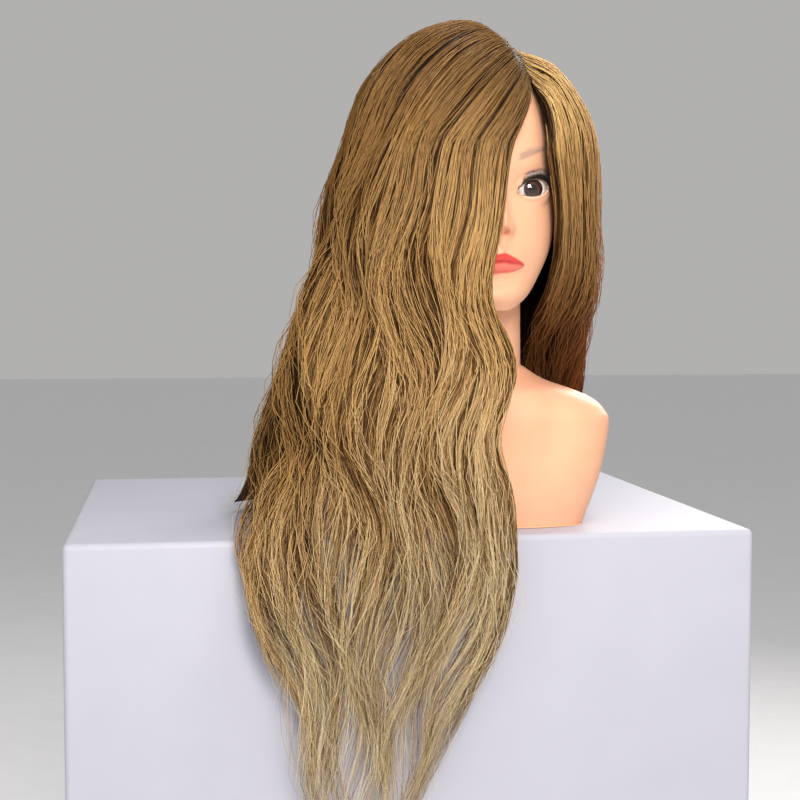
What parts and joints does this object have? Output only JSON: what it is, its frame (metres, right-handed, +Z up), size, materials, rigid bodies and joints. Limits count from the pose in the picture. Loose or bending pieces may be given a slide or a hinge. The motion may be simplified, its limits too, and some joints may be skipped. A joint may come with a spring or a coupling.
{
  "type": "mannequin training head",
  "caption": "Vinyl mannequin head on a shoulder bust with long side-parted ombre hair, for practising cutting and styling, with a post socket in its base.",
  "frame": {"origin": "centre of the post socket in the middle of the base, on the plane of the bust's resting rim", "axes": "+Z up, the bust faces -Y, and the mannequin's own left hand is at +X"},
  "size_m": [0.3173, 0.3932, 0.6483],
  "materials": {
    "vinyl_skin": "soft peach vinyl, satin, with painted brows, lids and glossy coral lips",
    "rigid_foam": "rigid polyurethane foam, open surface, matte",
    "base_board": "black moulded board, matte",
    "black_plastic": "black moulded plastic, fine grain",
    "scalp_cap": "brown woven wig cap",
    "eye_white": "polished white plastic",
    "iris": "printed brown iris with a dark rim and pupil",
    "lash_fibre": "black synthetic lashes on a strip",
    "screw_steel": "zinc-plated steel",
    "hair": "long wavy fibre, brown at the root fading to pale blond at the tip, satin sheen",
    "clear_acrylic": "clear polished acrylic dome"
  },
  "bodies": {
    "root": {"back_lock_1": "hair", "back_lock_2": "hair", "back_lock_3": "hair", "back_lock_4": "hair", "back_lock_5": "hair", "base_board": "base_board", "bust_skin": "vinyl_skin", "foam_core": "rigid_foam", "fringe_lock": "hair", "left_cheek_lock": "hair", "left_eye_dome": "clear_acrylic", "left_eye_white": "eye_white", "left_iris": "iris", "left_lash_strip": "lash_fibre", "left_temple_lock": "hair", "right_cheek_lock": "hair", "right_ear_lock": "hair", "right_eye_dome": "clear_acrylic", "right_eye_white": "eye_white", "right_iris": "iris", "right_lash_strip": "lash_fibre", "right_shoulder_lock": "hair", "right_temple_lock": "hair", "scalp_cap": "scalp_cap", "socket_screw_1": "screw_steel", "socket_screw_2": "screw_steel", "socket_screw_3": "screw_steel", "socket_screw_4": "screw_steel", "socket_tube": "black_plastic"}
  },
  "joints": []
}
